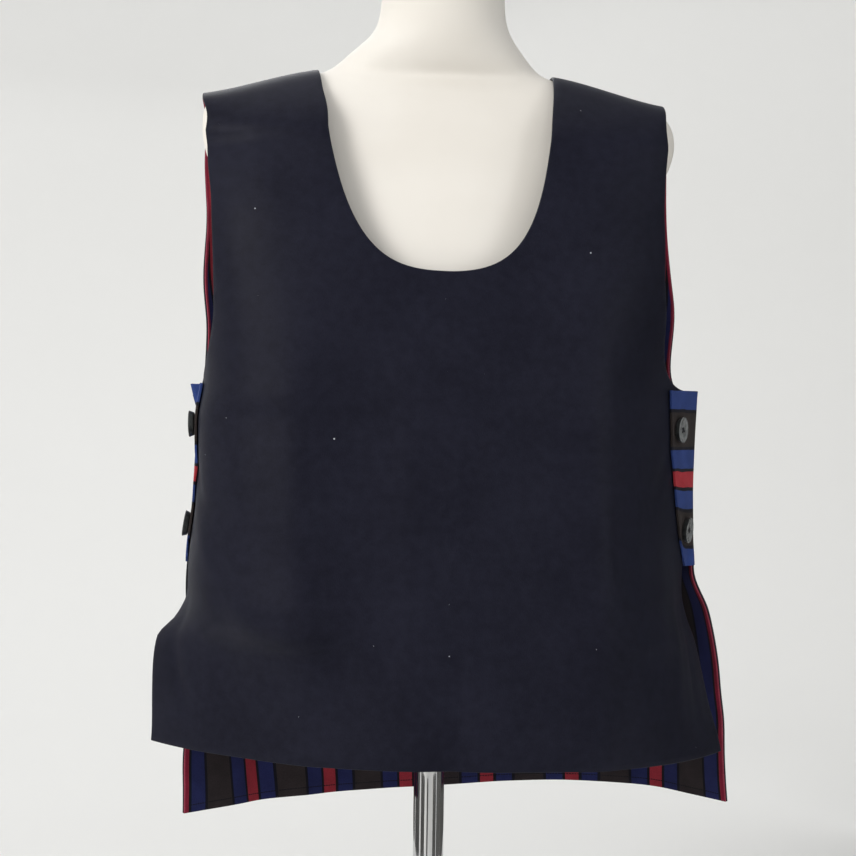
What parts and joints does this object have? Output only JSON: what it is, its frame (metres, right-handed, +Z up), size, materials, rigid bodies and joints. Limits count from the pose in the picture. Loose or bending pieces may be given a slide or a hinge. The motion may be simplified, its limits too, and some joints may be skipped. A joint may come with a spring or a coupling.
{
  "type": "layered tabard vest on a limbless dress form with a pole stand",
  "caption": "Sleeveless double-faced tabard vest with a wide scoop neck and buttoned striped side tabs, worn by a limbless dress form on a pole and round base.",
  "frame": {"origin": "centre of the base's flat underside, on the pole's axis", "axes": "+Z up along the pole; -Y out of the vest's front; +X towards the viewer's right, the wearer's left"},
  "size_m": [0.5051, 0.29, 0.99],
  "materials": {
    "outer_cloth": "matt felted wool, near black navy",
    "striped_cloth": "matt woven twill with blue, brown and red stripes",
    "button_shell": "glossy grey with a dark edge",
    "form_cover": "smooth cream cover",
    "chrome": "polished chrome plate"
  },
  "bodies": {
    "root": {"front_panel": "outer_cloth", "back_outer": "outer_cloth", "back_lining": "striped_cloth", "right_tab": "striped_cloth", "left_tab": "striped_cloth", "right_upper_button": "button_shell", "right_lower_button": "button_shell", "left_upper_button": "button_shell", "left_lower_button": "button_shell", "dress_form": "form_cover", "pole": "chrome", "base": "chrome"}
  },
  "joints": []
}
